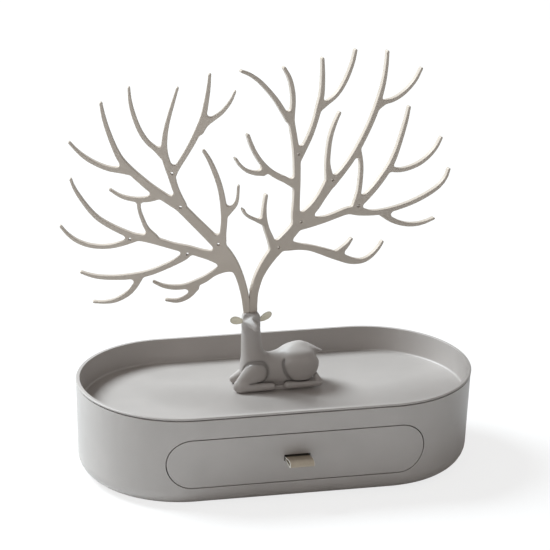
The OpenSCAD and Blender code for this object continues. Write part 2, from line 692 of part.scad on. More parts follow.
// A flat leaf on a square peg
module ear() {
    translate([0.6, 0, 0]) hull() {
        blob([1.6, 0, 0], [1.6, 0.9, 1.6]);
        blob([ear_l / 2, 0, 0], [ear_l / 3.2, 1.1, 2.8]);
        blob([ear_l - 1.6, 0, 0], [1.6, 0.8, 1.8]);
    }
    ear_peg(0);
}

module ear_left() { color(cream) deer_frame() ear_place(-1) ear(); }
module ear_right() { color(cream) deer_frame() ear_place(1) ear(); }

// ---- antlers ----

// Each antler plate stands at the seam on the crown and sweeps back. s = -1 is the left one.
module antler_place(s) { translate([seam_x, 0, crown_h]) rotate([0, 0, s * sweep]) children(); }

module tenon(s, gap, depth) {
    translate([s * tenon_x - tenon_w / 2 - gap, -tenon_t / 2 - gap, -depth])
        cube([tenon_w + 2 * gap, tenon_t + 2 * gap, depth + 0.5]);
}

module antler_plate(tines, holes) {
    rotate([90, 0, 0]) difference() {
        translate([0, 0, -antler_t / 2]) linear_extrude(antler_t) {
            scale(antler_scale) translate([0, -grid_h]) intersection() {
                offset(r = -web, $fn = 16) offset(delta = web) {
                    for (t = tines) tine(t);
                }
                translate([-far, grid_h]) square(2 * far);
            }
        }
        for (h = holes) {
            translate([h[0] * antler_scale, (h[1] - grid_h) * antler_scale, -antler_t])
                cylinder(d = stud_d, h = 2 * antler_t, $fn = 32);
        }
    }
}

// The cut that mitres the two stems where they stand side by side
module seam_cut(s) {
    translate([seam_x - (s > 0 ? far - seam_gap / 2 : seam_gap / 2), -far / 2, crown_h - 20])
        cube([far, far, seam_h + 20]);
}

module antler(s, tines, holes) {
    color(grey) deer_frame() difference() {
        antler_place(s) {
            antler_plate(tines, holes);
            tenon(s, 0, tenon_h);
        }
        seam_cut(s);
    }
}

module antler_left() { antler(-1, left_tines, left_holes); }
module antler_right() { antler(1, right_tines, right_holes); }

case();
base_pad();
tray();
tray_screws();
runner_left();
runner_right();
runner_screws();
drawer_front();
drawer_bin();
front_screws();
pull_strip();
pull_clamp();
pull_screws();
deer_base();
deer_body();
deer_screws();
ear_left();
ear_right();
antler_left();
antler_right();
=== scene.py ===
"""A jewellery stand: an oval case with a tray on top, a drawer in front and a lying deer whose
flat antlers are the rack. Lengths are millimetres unless a name or a comment says otherwise."""

import json
import math

import bmesh
import bpy
import numpy as np
from mathutils import Matrix
from mathutils.geometry import tessellate_polygon

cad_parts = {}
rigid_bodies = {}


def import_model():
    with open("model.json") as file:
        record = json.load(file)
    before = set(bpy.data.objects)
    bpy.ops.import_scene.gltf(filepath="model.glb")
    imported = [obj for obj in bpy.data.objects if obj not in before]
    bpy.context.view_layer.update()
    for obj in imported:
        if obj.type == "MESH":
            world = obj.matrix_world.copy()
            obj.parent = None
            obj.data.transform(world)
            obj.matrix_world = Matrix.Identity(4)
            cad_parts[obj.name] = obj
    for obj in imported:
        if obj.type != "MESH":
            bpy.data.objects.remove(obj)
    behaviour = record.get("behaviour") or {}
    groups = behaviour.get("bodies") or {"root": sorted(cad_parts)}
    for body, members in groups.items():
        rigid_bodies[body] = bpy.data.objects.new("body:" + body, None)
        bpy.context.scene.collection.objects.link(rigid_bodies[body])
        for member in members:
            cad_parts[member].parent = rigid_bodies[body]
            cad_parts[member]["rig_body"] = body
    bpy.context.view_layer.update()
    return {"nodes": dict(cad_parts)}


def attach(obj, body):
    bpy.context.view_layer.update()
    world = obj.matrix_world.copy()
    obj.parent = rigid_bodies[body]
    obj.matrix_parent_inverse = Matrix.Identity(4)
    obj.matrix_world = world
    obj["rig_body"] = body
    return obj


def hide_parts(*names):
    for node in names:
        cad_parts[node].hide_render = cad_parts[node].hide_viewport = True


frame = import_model()
MM = 0.001


# ---- camera, floor and lights ----

EYE = (-450.09, -1804.79, 862.09)  # the camera's place, and below it two of its axes
RIGHT = (0.97251308, -0.23150094, 0.02501252)
UP = (0.0616874, 0.35973416, 0.93101343)
FILM = 36
LENS = 3003.0 / 550 * FILM  # the focal length is 3003 pixels of a picture 550 wide


def make_camera():
    """The camera of the photograph: its place, its three axes and its focal length."""
    data = bpy.data.cameras.new("camera")
    data.sensor_width = FILM
    data.lens = LENS
    data.clip_start = 0.1
    data.clip_end = 50
    camera = bpy.data.objects.new("camera", data)
    back = np.cross(RIGHT, UP)
    turn = Matrix([[RIGHT[i], UP[i], back[i], EYE[i] * MM] for i in range(3)] + [[0, 0, 0, 1]])
    camera.matrix_world = turn
    bpy.context.scene.collection.objects.link(camera)
    bpy.context.scene.camera = camera


class Shade:
    """A value in a node tree. Operators on it add Math nodes."""

    def __init__(self, tree, socket):
        self.tree = tree
        self.socket = socket

    def maths(self, operation, *values):
        node = self.tree.nodes.new("ShaderNodeMath")
        node.operation = operation
        for slot, value in zip(node.inputs, values):
            feed(self.tree, slot, value)
        return Shade(self.tree, node.outputs[0])

    def __add__(self, other):
        return self.maths("ADD", self, other)

    def __radd__(self, other):
        return self.maths("ADD", other, self)

    def __mul__(self, other):
        return self.maths("MULTIPLY", self, other)

    def __rmul__(self, other):
        return self.maths("MULTIPLY", other, self)

    def step(self, low, high):
        """0 below low, 1 above high, and a soft ramp between."""
        node = self.tree.nodes.new("ShaderNodeMapRange")
        node.interpolation_type = "SMOOTHSTEP"
        for name, value in (("Value", self), ("From Min", low), ("From Max", high)):
            feed(self.tree, node.inputs[name], value)
        return Shade(self.tree, node.outputs[0])


def feed(tree, socket, value):
    """Links a shader value to a socket, or writes a plain number or colour there."""
    if isinstance(value, Shade):
        tree.links.new(value.socket, socket)
    elif hasattr(value, "__len__"):
        socket.default_value = (*value, 1)
    else:
        socket.default_value = value


class Finish:
    """One material: its Principled shader and one way to add any other node."""

    def __init__(self, name, **fixed):
        self.material = bpy.data.materials.new(name)
        self.material.use_nodes = True
        self.tree = self.material.node_tree
        self.shader = self.tree.nodes["Principled BSDF"]
        for socket, value in fixed.items():
            feed(self.tree, self.shader.inputs[socket.replace("_", " ")], value)
        coords = self.tree.nodes.new("ShaderNodeTexCoord")
        self.place = Shade(self.tree, coords.outputs["Object"])

    def node(self, kind, settings=None, output=0, **values):
        """Any node: its settings first, then the values or links of its sockets."""
        node = self.tree.nodes.new(kind)
        for name, value in (settings or {}).items():
            setattr(node, name, value)
        for name, value in values.items():
            feed(self.tree, node.inputs[name.replace("_", " ")], value)
        return Shade(self.tree, node.outputs[output])

    def noise(self, scale_per_mm, detail):
        """Cloudy noise from 0 to 1 with so many patches to the millimetre."""
        return self.node("ShaderNodeTexNoise", Vector=self.place, Scale=scale_per_mm / MM,
                         Detail=detail, Roughness=0.5)

    def mix(self, amount, first, second):
        node = self.tree.nodes.new("ShaderNodeMix")
        node.data_type = "RGBA"
        feed(self.tree, node.inputs["Factor"], amount)
        feed(self.tree, node.inputs[6], first)
        feed(self.tree, node.inputs[7], second)
        return Shade(self.tree, node.outputs[2])

    def axes(self):
        """The place as three values, x, y and z in metres."""
        node = self.tree.nodes.new("ShaderNodeSeparateXYZ")
        feed(self.tree, node.inputs[0], self.place)
        return [Shade(self.tree, out) for out in node.outputs]

    def drive(self, **sockets):
        for socket, value in sockets.items():
            feed(self.tree, self.shader.inputs[socket.replace("_", " ")], value)

    def grain(self, height, strength, depth_mm):
        """Bumps the surface by a height field."""
        bump = self.node("ShaderNodeBump", Height=height, Strength=strength, Distance=depth_mm * MM)
        self.drive(Normal=bump)


def satin_plastic(name, colour, rough, painted_shade=0.0):
    """Moulded plastic: a fine spark-eroded grain, slow drifts of colour and gloss, and painted
    shade that darkens it where the mesh's own crease mark is high."""
    finish = Finish(name, IOR=1.46)
    drift = finish.noise(0.03, 3)
    fine = finish.noise(2.6, 2)
    dark = [c * 0.965 for c in colour]
    light = [min(1, c * 1.03) for c in colour]
    face = finish.mix(drift.step(0.3, 0.7), dark, light)
    if painted_shade:
        # painted shade: the colour goes dark where the crease mark is high, as shade in a crease
        shade_mark = finish.node("ShaderNodeAttribute", {"attribute_name": "crease"}, 2)
        face = finish.mix(shade_mark * painted_shade, face, [c * 0.2 for c in colour])
    finish.drive(Base_Color=face)
    finish.drive(Roughness=rough - 0.05 + 0.08 * drift + 0.03 * fine)
    finish.grain(fine, 0.12, 0.03)
    return finish.material


def smooth_leather(name, colour, edge_colour, half_width, slot_y):
    """Smooth leather with a fine pebble grain, raw pale edges at both ends of its width, and
    painted shade where it goes into its slot."""
    finish = Finish(name, IOR=1.45)
    x, y = finish.axes()[:2]
    edge = x.maths("ABSOLUTE", x).step((half_width - 0.32) * MM, (half_width - 0.12) * MM)
    pebble = finish.node("ShaderNodeTexVoronoi", {"feature": "SMOOTH_F1"}, Vector=finish.place,
                         Scale=2.2 / MM, Smoothness=0.6)
    cloud = finish.noise(0.35, 3)
    face = finish.mix(cloud, [c * 0.88 for c in colour], [c * 1.1 for c in colour])
    # painted shade: the strip goes nearly black inside its slot, where the panel's shadow falls
    slot_shade = y.step((slot_y - 0.7) * MM, (slot_y + 0.3) * MM)
    face = finish.mix(edge, face, edge_colour)
    finish.drive(Base_Color=finish.mix(slot_shade * 0.92, face, [c * 0.08 for c in colour]))
    finish.drive(Roughness=0.5 + 0.12 * cloud + 0.2 * edge)
    finish.grain(pebble, 0.25, 0.08)
    return finish.material


def plated_steel(name):
    """Zinc-plated steel with a cloudy mottle and a fine grain."""
    finish = Finish(name, Metallic=1.0)
    mottle = finish.noise(1.2, 3)
    finish.drive(Base_Color=finish.mix(mottle, (0.5, 0.5, 0.52), (0.66, 0.66, 0.67)))
    finish.drive(Roughness=0.26 + 0.16 * mottle)
    finish.grain(finish.noise(6, 2), 0.1, 0.02)
    return finish.material


def foam_rubber(name):
    """Matt black foam rubber with open pores."""
    finish = Finish(name, Roughness=0.9)
    pores = finish.node("ShaderNodeTexVoronoi", Vector=finish.place, Scale=1.6 / MM)
    finish.drive(Base_Color=finish.mix(pores, (0.012, 0.012, 0.013), (0.035, 0.035, 0.036)))
    finish.grain(pores, 0.6, 0.15)
    return finish.material


def make_stage():
    """A white floor that keeps the shadow, a white world, a key lamp and a fill lamp."""
    bpy.ops.mesh.primitive_plane_add(size=FLOOR_WIDTH)
    floor = bpy.context.object
    floor.name = "floor"
    floor.data.materials.append(floor_white())
    world = bpy.data.worlds.new("studio")
    world.use_nodes = True
    bpy.context.scene.world = world
    tree = world.node_tree
    tree.nodes.clear()
    path = tree.nodes.new("ShaderNodeLightPath")
    seen = Shade(tree, path.outputs["Is Camera Ray"])
    seen = seen.maths("MAXIMUM", seen, Shade(tree, path.outputs["Is Glossy Ray"]) * MIRRORED)
    soft = tree.nodes.new("ShaderNodeBackground")
    feed(tree, soft.inputs["Strength"], seen.maths("MAXIMUM", seen, AMBIENT))
    tint = tree.nodes.new("ShaderNodeMix")
    tint.data_type = "RGBA"
    feed(tree, tint.inputs["Factor"], seen)
    feed(tree, tint.inputs[6], AMBIENT_TINT)
    feed(tree, tint.inputs[7], (1, 1, 1))
    tree.links.new(tint.outputs[2], soft.inputs["Color"])
    out = tree.nodes.new("ShaderNodeOutputWorld")
    tree.links.new(soft.outputs[0], out.inputs["Surface"])
    for name, place, aim, size, watts, colour in LAMPS:
        lamp = bpy.data.lights.new(name, "AREA")
        lamp.shape = "DISK"
        lamp.size = size
        lamp.energy = watts
        lamp.color = colour
        holder = bpy.data.objects.new(name, lamp)
        look = np.array(place, float) - aim
        look /= np.linalg.norm(look)
        side = np.cross((0, 0, 1), look)
        side /= np.linalg.norm(side)
        top = np.cross(look, side)
        holder.matrix_world = Matrix(
            [[side[i], top[i], look[i], place[i]] for i in range(3)] + [[0, 0, 0, 1]])
        bpy.context.scene.collection.objects.link(holder)


def floor_white():
    """A white floor. The camera sees it three quarters as paper that glows and one quarter as lit
    matt paint, so it stays white and still keeps a soft shadow."""
    finish = Finish("floor_white", Roughness=0.9, Base_Color=(0.84, 0.84, 0.84))
    finish.shader.inputs["Specular IOR Level"].default_value = 0.0
    nodes, links = finish.tree.nodes, finish.tree.links
    path = nodes.new("ShaderNodeLightPath")
    glow = nodes.new("ShaderNodeEmission")
    glow.inputs["Strength"].default_value = PAPER
    both = nodes.new("ShaderNodeMixShader")
    feed(finish.tree, both.inputs[0], Shade(finish.tree, path.outputs["Is Camera Ray"]) * GLOW)
    links.new(finish.shader.outputs[0], both.inputs[1])
    links.new(glow.outputs[0], both.inputs[2])
    links.new(both.outputs[0], nodes["Material Output"].inputs["Surface"])
    return finish.material


FLOOR_WIDTH = 12  # metres
PAPER = 1.05  # strength of the floor's glow
GLOW = 0.75  # share of the glow in the floor that the camera sees
AMBIENT = 0.27  # strength of the world as a light
AMBIENT_TINT = (1.0, 0.955, 0.91)  # colour of the world as a light
MIRRORED = 0.9  # strength of the world where gloss mirrors it
# name, place in metres, aim in metres, diameter in metres, watts, colour
LAMPS = [
    ("key", (-1.36, 0.86, 1.86), (0, 0, 0.08), 1.1, 99, (0.87, 0.955, 1.0)),
    ("fill", (-1.5, -1.7, 0.9), (0, 0, 0.08), 1.4, 5, (1.0, 0.96, 0.93)),
]

# ---- shared mesh helpers ----

SAME = 2e-6  # points nearer than this many metres are one
LEVEL = math.radians(0.4)  # faces that meet at less than this are one
SHARP = math.radians(35)  # edges that turn by more than this are rounded


def to_mesh(name, points, faces, material, body, node):
    """A piece from an array of points in millimetres and an array of faces, in a node's place."""
    mesh = bpy.data.meshes.new(name)
    faces = faces if isinstance(faces, list) else faces.tolist()
    mesh.from_pydata((np.asarray(points) * MM).tolist(), [], faces)
    mesh.polygons.foreach_set("use_smooth", np.ones(len(mesh.polygons), bool))
    mesh.materials.append(material)
    piece = bpy.data.objects.new(name, mesh)
    bpy.context.scene.collection.objects.link(piece)
    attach(piece, body)
    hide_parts(node)
    return piece


def keep_painted_shade(piece, shade_mark):
    """Keeps a value for each point, which the plastic reads as the strength of its painted shade.
    """
    data = piece.data.attributes.new("crease", "FLOAT", "POINT").data
    data.foreach_set("value", shade_mark.ravel())


def rounded(node, name, material, width, segments=2):
    """The CAD node's own shape as one closed skin, with its sharp edges rounded."""
    source = frame["nodes"][node]
    body = source["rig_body"]
    mesh = source.data.copy()
    mesh.name = name
    form = bmesh.new()
    form.from_mesh(mesh)
    bmesh.ops.remove_doubles(form, verts=form.verts, dist=SAME)
    bmesh.ops.dissolve_degenerate(form, dist=1e-6, edges=form.edges)
    bmesh.ops.dissolve_limit(form, angle_limit=LEVEL, verts=form.verts, edges=form.edges,
                             use_dissolve_boundaries=False)
    form.to_mesh(mesh)
    form.free()
    mesh.materials.clear()
    mesh.materials.append(material)
    mesh.polygons.foreach_set("use_smooth", np.ones(len(mesh.polygons), bool))
    piece = bpy.data.objects.new(name, mesh)
    bpy.context.scene.collection.objects.link(piece)
    bevel = piece.modifiers.new("edges", "BEVEL")
    bevel.width = width * MM
    bevel.segments = segments
    bevel.limit_method = "ANGLE"
    bevel.angle_limit = SHARP
    bevel.use_clamp_overlap = True
    bevel.miter_outer = "MITER_ARC"
    weighted = piece.modifiers.new("normals", "WEIGHTED_NORMAL")
    weighted.keep_sharp = True
    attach(piece, body)
    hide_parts(node)
    return piece


def settle(piece, low, share):
    """Draws what lies above a height toward it: z becomes low + share (z - low). The strip sags
    so and leaves the slot's upper edge open."""
    data = piece.data
    co = np.zeros(len(data.vertices) * 3, np.float32)
    data.vertices.foreach_get("co", co)
    z = co[2::3] / MM
    co[2::3] = np.where(z > low, low + share * (z - low), z) * MM
    data.vertices.foreach_set("co", co)


# ---- the antlers: each plate's outline, drawn through its thickness with rounded edges ----

SEAM = (-15.6, 13.8)  # x and y of the line where the two plates stand side by side
SWEEP = math.radians(14)  # how far each plate turns back from there
PLATE = 3.6  # thickness
EDGE = 0.62  # radius of the rounded edges
HOLE_EDGE = 0.22  # the same at a small round hole
MITRE_EDGE = 0.2  # the same where a plate is mitred along the seam
MITRE_AT = 0.05  # how far from the seam each plate is mitred
MITRE_NEAR = 0.3  # outline points nearer to the mitre than this lie on it
MITRE_TOP = 125  # the mitre ends below this height
TIP_SHARE = 0.7  # share of the room at a thin tip that its rounded edge may take
RIM = 1.15  # how many radii in from the outline the flat ring lies
STEP = 0.7  # distance of the points along an outline
HOLE_POINTS = 20  # points of a small round hole, which has the fewest of any outline
EASE = 12  # smoothing passes of an outline
DOUBLINGS = 20  # enough to follow an outline of a million points


def loose_mesh(node):
    """A CAD node's corner points in millimetres, with equal ones made one, and its triangles."""
    data = frame["nodes"][node].data
    co = np.zeros(len(data.vertices) * 3, np.float32)
    data.vertices.foreach_get("co", co)
    key = np.round(co.reshape(-1, 3) / SAME).astype(np.int64)
    key, first, same = np.unique(key, axis=0, return_index=True, return_inverse=True)
    data.calc_loop_triangles()
    tri = np.zeros(len(data.loop_triangles) * 3, np.int32)
    data.loop_triangles.foreach_get("vertices", tri)
    tri = same.reshape(-1)[tri].reshape(-1, 3)
    whole = (tri[:, 0] != tri[:, 1]) & (tri[:, 1] != tri[:, 2]) & (tri[:, 2] != tri[:, 0])
    return co.reshape(-1, 3)[first].astype(float) / MM, tri[whole]


def cut_loops(flat, side, tri):
    """The closed outlines in which a plane cuts a skin. side says how far each point is in front
    of the plane. Each triangle that is cut joins the edge where it goes down through the plane
    to the edge where it comes up, and doubling the steps puts each outline in order."""
    up = side[tri] > 0
    tri = tri[up.any(1) & ~up.all(1)]
    ends = []
    for high_first in (True, False):
        a, b = tri, np.roll(tri, -1, 1)
        pick = (side[a] > 0) if high_first else (side[a] <= 0)
        pick &= (side[b] > 0) != (side[a] > 0)
        at = pick.argmax(1)
        row = np.arange(len(tri))
        ends.append(np.sort(np.stack([a[row, at], b[row, at]], 1), 1))
    code = [e[:, 0].astype(np.int64) * (1 << 32) + e[:, 1] for e in ends]
    edges, first = np.unique(code[0], return_index=True)
    low, high = ends[0][first].T
    share = (side[low] / (side[low] - side[high]))[:, None]
    at = flat[low] + (flat[high] - flat[low]) * share
    follow = np.zeros(len(edges), int)
    follow[np.searchsorted(edges, code[0])] = np.searchsorted(edges, code[1])
    label, hop = np.arange(len(edges)), follow.copy()
    for _ in range(DOUBLINGS):
        label = np.minimum(label, label[hop])
        hop = hop[hop]
    last = follow == label
    hop = np.where(last, np.arange(len(edges)), follow)
    rank = (~last).astype(int)
    for _ in range(DOUBLINGS):
        rank = rank + rank[hop]
        hop = hop[hop]
    return [at[label == k][np.argsort(-rank[label == k])] for k in np.unique(label)]


def even_loop(points, step, passes):
    """The same closed outline with evenly spaced points, eased a little and not shrunk."""
    closed = np.vstack([points, points[:1]])
    run = np.concatenate([[0], np.cumsum(np.hypot(*np.diff(closed, axis=0).T))])
    count = max(HOLE_POINTS, round(run[-1] / step))
    at = np.arange(count) / count * run[-1]
    loop = np.stack([np.interp(at, run, closed[:, k]) for k in (0, 1)], 1)
    for weight in (0.4, -0.41) * passes:
        loop += weight * ((np.roll(loop, 1, 0) + np.roll(loop, -1, 0)) / 2 - loop)
    return loop


def loop_normals(loop):
    """The outward directions of a closed outline."""
    along = np.roll(loop, -1, 0) - np.roll(loop, 1, 0)
    along = along + 0.5 * (np.roll(along, 1, 0) + np.roll(along, -1, 0))
    out = np.stack([along[:, 1], -along[:, 0]], 1)
    return out / np.hypot(*out.T)[:, None]


def room(loop, out):
    """The radius of the largest circle inside a closed outline that touches it at each point: the
    least of |d|^2 / (2 d.n), where d leads to any other point and n points inward."""
    d = (loop[None] - loop[:, None]).astype(np.float32)
    toward = -(d * out[:, None].astype(np.float32)).sum(-1)
    return np.min(np.where(toward > 1e-3, (d ** 2).sum(-1) / np.maximum(2 * toward, 2e-3), 99), 1)


def make_antler(name, node, side, material):
    """One antler. Its outline is the cut of the plate at mid-thickness. Rings of points follow it
    from the front face over a quarter round to the wall and over another to the back face. The
    round gets smaller toward a thin tip. A narrow flat ring on each face keeps its shading
    level."""
    points, tri = loose_mesh(node)
    c, s = math.cos(SWEEP), side * math.sin(SWEEP)
    q = points[:, :2] - SEAM
    flat = np.stack([q @ (c, s), points[:, 2]], 1)
    depth = q @ (-s, c)
    loops = [even_loop(loop, STEP, EASE) for loop in cut_loops(flat, depth, tri)]
    area = [0.5 * np.sum(p[:, 0] * np.roll(p[:, 1], -1) - np.roll(p[:, 0], -1) * p[:, 1])
            for p in loops]
    main = int(np.argmax(np.abs(area)))
    if area[main] < 0:
        loops = [p[::-1] for p in loops]
    turn = np.linspace(0, np.pi / 2, 5)
    rows, caps, start = [], [[], []], 0
    quads = []
    for loop in loops:
        hole = len(loop) <= HOLE_POINTS
        mitre = np.abs(c * loop[:, 0] * side - MITRE_AT) < MITRE_NEAR
        mitre &= loop[:, 1] < MITRE_TOP
        r = np.where(mitre, MITRE_EDGE, HOLE_EDGE if hole else EDGE)
        out = loop_normals(loop)
        if not hole:
            r = np.minimum(r, TIP_SHARE * room(loop, out))
        for _ in range(3):
            r = np.minimum(r, np.minimum(np.roll(r, 1), np.roll(r, -1)))
        r = (np.roll(r, 1) + r + np.roll(r, -1)) / 3
        up, down = 1 - np.sin(turn)[:, None], 1 - np.cos(turn)[:, None]
        flat_rim = r[None] * RIM
        inset = np.concatenate([flat_rim, up * r, down * r, flat_rim])
        face = np.full_like(flat_rim, PLATE / 2)
        level = np.concatenate([-face, down * r - face, face - up * r, face])
        ring = loop[None] - out[None] * inset[..., None]
        grid = np.stack([ring[..., 0] + mitre * level * s / c, level, ring[..., 1]], -1)
        n, m = grid.shape[:2]
        index = start + np.arange(n * m).reshape(n, m)
        a, b = index[:-1], np.roll(index, -1, 1)[:-1]
        d, e = index[1:], np.roll(index, -1, 1)[1:]
        quads.append(np.stack([a, d, e, b], -1).reshape(-1, 4))
        rows.append(grid.reshape(-1, 3))
        caps[0].append(index[0])
        caps[1].append(index[-1])
        start += n * m
    grid = np.concatenate(rows)
    world = np.stack([SEAM[0] + c * grid[:, 0] - s * grid[:, 1],
                      SEAM[1] + s * grid[:, 0] + c * grid[:, 1], grid[:, 2]], 1)
    faces = [tuple(f) for f in np.concatenate(quads)]
    for front, cap in zip((True, False), caps):
        order = np.concatenate(cap)
        outlines = [[(grid[i, 0], grid[i, 2], 0.0) for i in loop] for loop in cap]
        fill = np.array(tessellate_polygon(outlines))
        corner = grid[order][fill]
        facing = np.cross(corner[:, 1] - corner[:, 0], corner[:, 2] - corner[:, 0])[:, 1]
        flip = (facing > 0) if front else (facing < 0)
        fill[flip] = fill[flip][:, ::-1]
        faces += [tuple(f) for f in order[fill[facing != 0]]]
    piece = to_mesh(name, world, faces, material, "stand", node)
    normals = piece.modifiers.new("normals", "WEIGHTED_NORMAL")
    normals.keep_sharp = True


# ---- the deer: a distance field, blended and turned into a skin ----

DEER = (0.0, 13.8, 49.0)  # the deer's origin on the tray floor, from which its sizes run
CELL = 0.42  # grid step of the skin
REACH = ((-31, -14, -0.6), (38, 13.5, 56))  # corners of the grid
CROWN = 55  # height at which the head is cut level, where the antlers stand
LIP = 0.35  # how far the edges of a groove are rounded
SHADE_REACH = 0.8  # distance from a groove at which its painted crease shade is down to 1 / e
SHADE_FULL = 0.5  # radius of a groove whose painted crease shade mark is 1


def ellipsoid(p, centre, radii):
    """Distance to an ellipsoid, by its scaled radius and that radius's slope."""
    q = p - np.reshape(centre, (3, 1, 1, 1))
    r = np.reshape(radii, (3, 1, 1, 1)).astype(np.float32)
    near = np.sqrt(((q / r) ** 2).sum(0))
    slope = np.sqrt(((q / (r * r)) ** 2).sum(0)) + 1e-6
    return near * (near - 1) / slope


def limb(p, start, end, r0, r1, flat=1.0):
    """Distance to a tapering rod with round ends, made flat times as wide along Y."""
    squeeze = np.reshape((1, flat, 1), (3, 1, 1, 1))
    a = np.array(start, np.float32)
    b = np.array(end, np.float32)
    q = (p - np.reshape(a, (3, 1, 1, 1))) / squeeze
    d = (b - a) / (1, flat, 1)
    along = np.clip(np.tensordot(d, q, (0, 0)) / (d @ d), 0, 1)
    gap = q - np.reshape(d, (3, 1, 1, 1)) * along
    return (np.sqrt((gap ** 2).sum(0)) - (r0 + (r1 - r0) * along)) * (1 + flat) / 2


def blend(a, b, k):
    """The union of two distances with a round seam of width k."""
    h = np.maximum(k - np.abs(a - b), 0) / k
    return np.minimum(a, b) - h * h * k / 4


def carve(a, b, k):
    """Distance a with b cut out of it, the edge rounded by k."""
    return -blend(-a, b, k)


def ramp(v, low, high):
    """0 below low, 1 above high, smooth between."""
    t = np.clip((v - low) / (high - low), 0, 1)
    return t * t * (3 - 2 * t)


def creased(form, part, k, r):
    """A part laid on a form, with a groove of radius r where their skins meet. A form is its
    distance and its painted crease shade mark, which falls off from a groove as a bell does."""
    form, shade_mark = form
    away = np.hypot(form, part)
    near = np.exp(-((away / SHADE_REACH) ** 2))
    # painted shade: the mark rises near each groove, where shade falls
    shade_mark = np.maximum(shade_mark, near * np.maximum(r, 0) / SHADE_FULL)
    return carve(blend(form, part, k), away - r, LIP), shade_mark


def block(p, centre, half, r):
    """Distance to a box with edges of radius r."""
    q = np.abs(p - np.reshape(centre, (3, 1, 1, 1))) - np.reshape(half, (3, 1, 1, 1)) + r
    return np.sqrt((np.maximum(q, 0) ** 2).sum(0)) + np.minimum(q.max(0), 0) - r


def deer_field(p):
    """The lying deer as a distance field: torso, rump, neck and head blended softly, and the
    shoulders, thighs and legs laid on with a groove round them. Also gives its painted crease
    shade."""
    x, y, z = p
    torso = ellipsoid(p, (1, 0, 12.4), (20, 7.6, 12.3))
    rump = ellipsoid(p, (19.2, 0, 15.4), (13.3, 8.6, 16.0))
    chest = ellipsoid(p, (-10.2, 0, 13), (8.2, 7.8, 13.5))
    neck = limb(p, (-12.4, 0, 15), (-14.3, 0, 45.5), 7.9, 6.2)
    body = blend(torso, rump, 10)
    body = blend(body, chest, 4)
    body = blend(body, neck, 5)
    skull = block(p, (-14.3, -0.4, 48.4), (6.0, 6.0, 7.2), 4.2)
    muzzle = limb(p, (-15.6, -3.0, 50.2), (-13.0, -11.2, 47.6), 4.4, 2.5)
    muzzle = carve(muzzle, -(x + 11.0 + z - 48.5) * 0.707, 0.5)
    cheek = (x + 16.2) * 0.516 + (y + 8.0) * 0.376 - (z - 50.2) * 0.769 + 0.3
    brow = carve(cheek, -(y + 2.4), 2.0)
    head = carve(blend(skull, muzzle, 0.8), brow, 0.4)
    body = blend(body, head, 1.0)
    form = (body, 0 * body)
    tail = limb(p, (25.6, 0, 27.4), (35.2, 0, 23.2), 1.8, 0.8, 2.0)
    form = creased(form, tail, 0.6, 0.35 * ramp(x, 29, 31) - 0.1)
    for side in (-1, 1):
        egg = np.stack([x, y, np.where(z > 17.4, 17.4 + (z - 17.4) * 1.4, z)])
        thigh = ellipsoid(egg, (19.4, side * 6.7, 17.4), (12.8, 6.0, 13.0))
        form = creased(form, thigh, 0.6 + 7 * ramp(z, 20, 27), 0.5 - 0.8 * ramp(z, 20, 27))
        shin = limb(p, (10.2, side * 9.3, 3.5), (32.4, side * 8.8, 3.4), 2.6, 2.0)
        hock = limb(p, (33.0, side * 8.0, 3.6), (29.0, side * 6.2, 10.4), 2.0, 1.9)
        form = creased(form, blend(shin, hock, 0.6), 0.4, 0.45)
    arm = limb(p, (-11.6, -6.0, 13.2), (-22.8, -7.8, 4.6), 8.7, 4.4, 0.58)
    fore = limb(p, (-21.5, -8.4, 3.4), (-0.6, -9.6, 3.5), 3.3, 2.4)
    form = creased(form, arm, 0.4, 0.5)
    form = creased(form, fore, 0.5 + 2.5 * (1 - ramp(x, -19, -14)), 0.4 * ramp(x, -20, -15))
    far_arm = limb(p, (-12, 5.6, 10), (-24.0, 7.4, 3.6), 6.4, 2.6, 0.7)
    far_fore = limb(p, (-23, 8.2, 2.7), (0, 9.2, 3.2), 2.4, 2.1)
    body, shade_mark = creased(form, blend(far_arm, far_fore, 1.4), 0.6, 0.35)
    plinth = block(p, (5, 0, 0.2), (13, 8.3, 2.6), 0.5)
    body = blend(body, plinth, 0.4)
    body = np.maximum(body, z - CROWN)
    return np.maximum(body, -z), shade_mark


